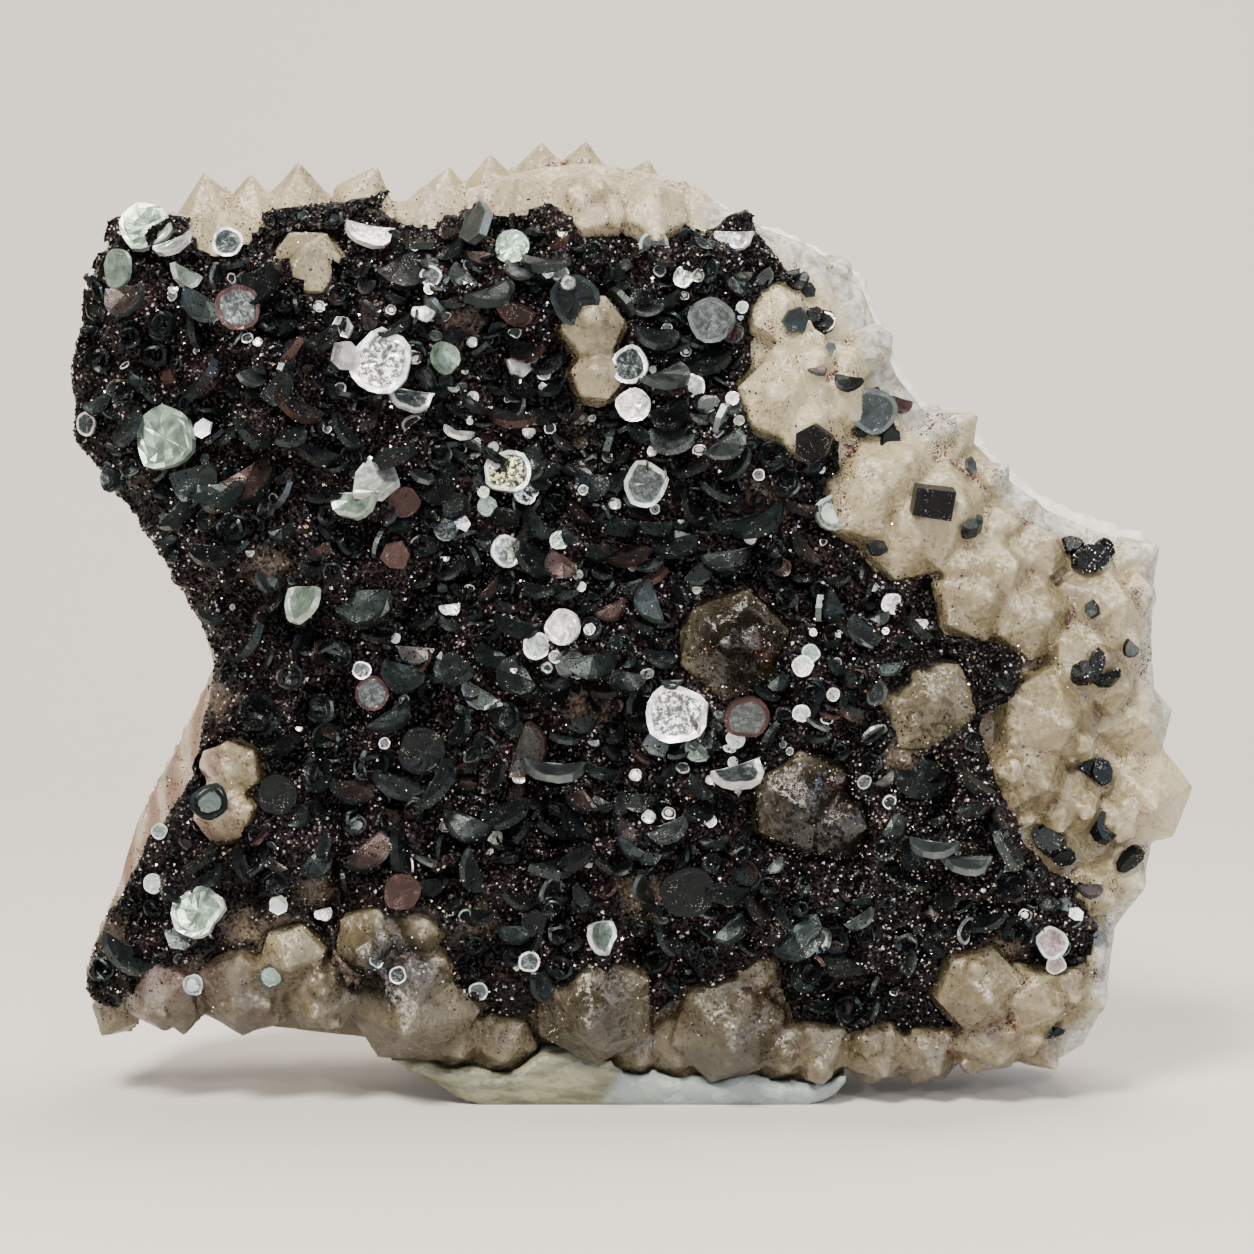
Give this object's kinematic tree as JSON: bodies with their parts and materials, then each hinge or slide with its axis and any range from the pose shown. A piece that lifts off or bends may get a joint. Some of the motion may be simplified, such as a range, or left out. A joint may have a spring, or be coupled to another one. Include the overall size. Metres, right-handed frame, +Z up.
{
  "type": "hematite on quartz specimen",
  "caption": "Upright plate of quartz crystals on pale matrix with a flat foot, its front covered by a dark crust bristling with hematite plates.",
  "frame": {"origin": "middle of the whole specimen's box in plan, at the level of the flat face it stands on", "axes": "+X to the right of the front, +Y towards the broken back, +Z up"},
  "size_m": [0.0902, 0.0334, 0.0774],
  "materials": {
    "massive_quartz": "pale off-white massive quartz, matt and rough where it was broken, smoother on the trimmed foot",
    "milky_quartz": "translucent honey-beige quartz crystals, glassy, finely specked with dark and reddish hematite",
    "hematite_crust": "near-black hematite crust with a purplish-brown undertone, sparkling with fine crystal faces",
    "hematite_plates": "dark steel-grey hematite blades with a metallic lustre"
  },
  "bodies": {
    "root": {"matrix": "massive_quartz", "quartz_druse": "milky_quartz", "hematite_crust": "hematite_crust", "hematite_rosette_upper": "hematite_plates", "hematite_block_upper": "hematite_plates", "hematite_pair_upper": "hematite_plates", "hematite_tuft_right": "hematite_plates", "hematite_tuft_middle": "hematite_plates", "hematite_pair_lower": "hematite_plates", "hematite_wedge_lower": "hematite_plates", "hematite_blade_lower": "hematite_plates", "hematite_chip_edge": "hematite_plates", "hematite_chip_bottom": "hematite_plates", "hematite_chip_green": "hematite_plates"}
  },
  "joints": []
}
